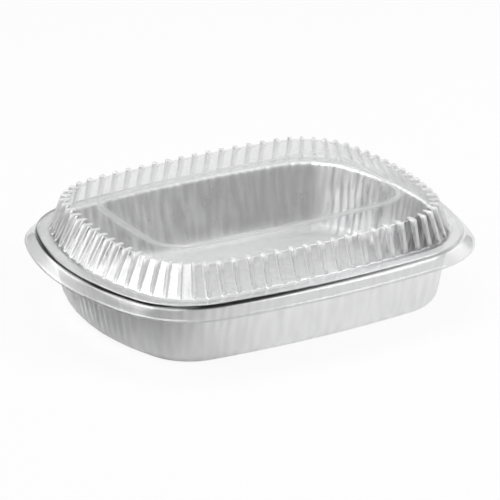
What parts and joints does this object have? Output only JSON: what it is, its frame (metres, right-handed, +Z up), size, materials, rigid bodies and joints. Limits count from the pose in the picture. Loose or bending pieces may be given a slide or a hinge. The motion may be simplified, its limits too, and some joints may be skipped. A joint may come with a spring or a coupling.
{
  "type": "foil food container",
  "caption": "Rectangular foil food tray with bowed sides and a rolled rim, closed by a clear dome lid with a ribbed wall that lifts off.",
  "frame": {"origin": "middle of the container's flat base, on the surface it stands on", "axes": "+X along the long side, +Y along the short side, +Z up through the lid"},
  "size_m": [0.2638, 0.2068, 0.0639],
  "materials": {
    "foil": "satin",
    "clear_plastic": "clear gloss"
  },
  "bodies": {
    "container": {"foil_container": "foil"},
    "lid": {"dome_lid": "clear_plastic"}
  },
  "joints": [
    {"name": "lid_lift", "type": "slide", "parent": "container", "child": "lid", "axis": [0, 0, 1], "range_m": [0, 0.08]}
  ]
}
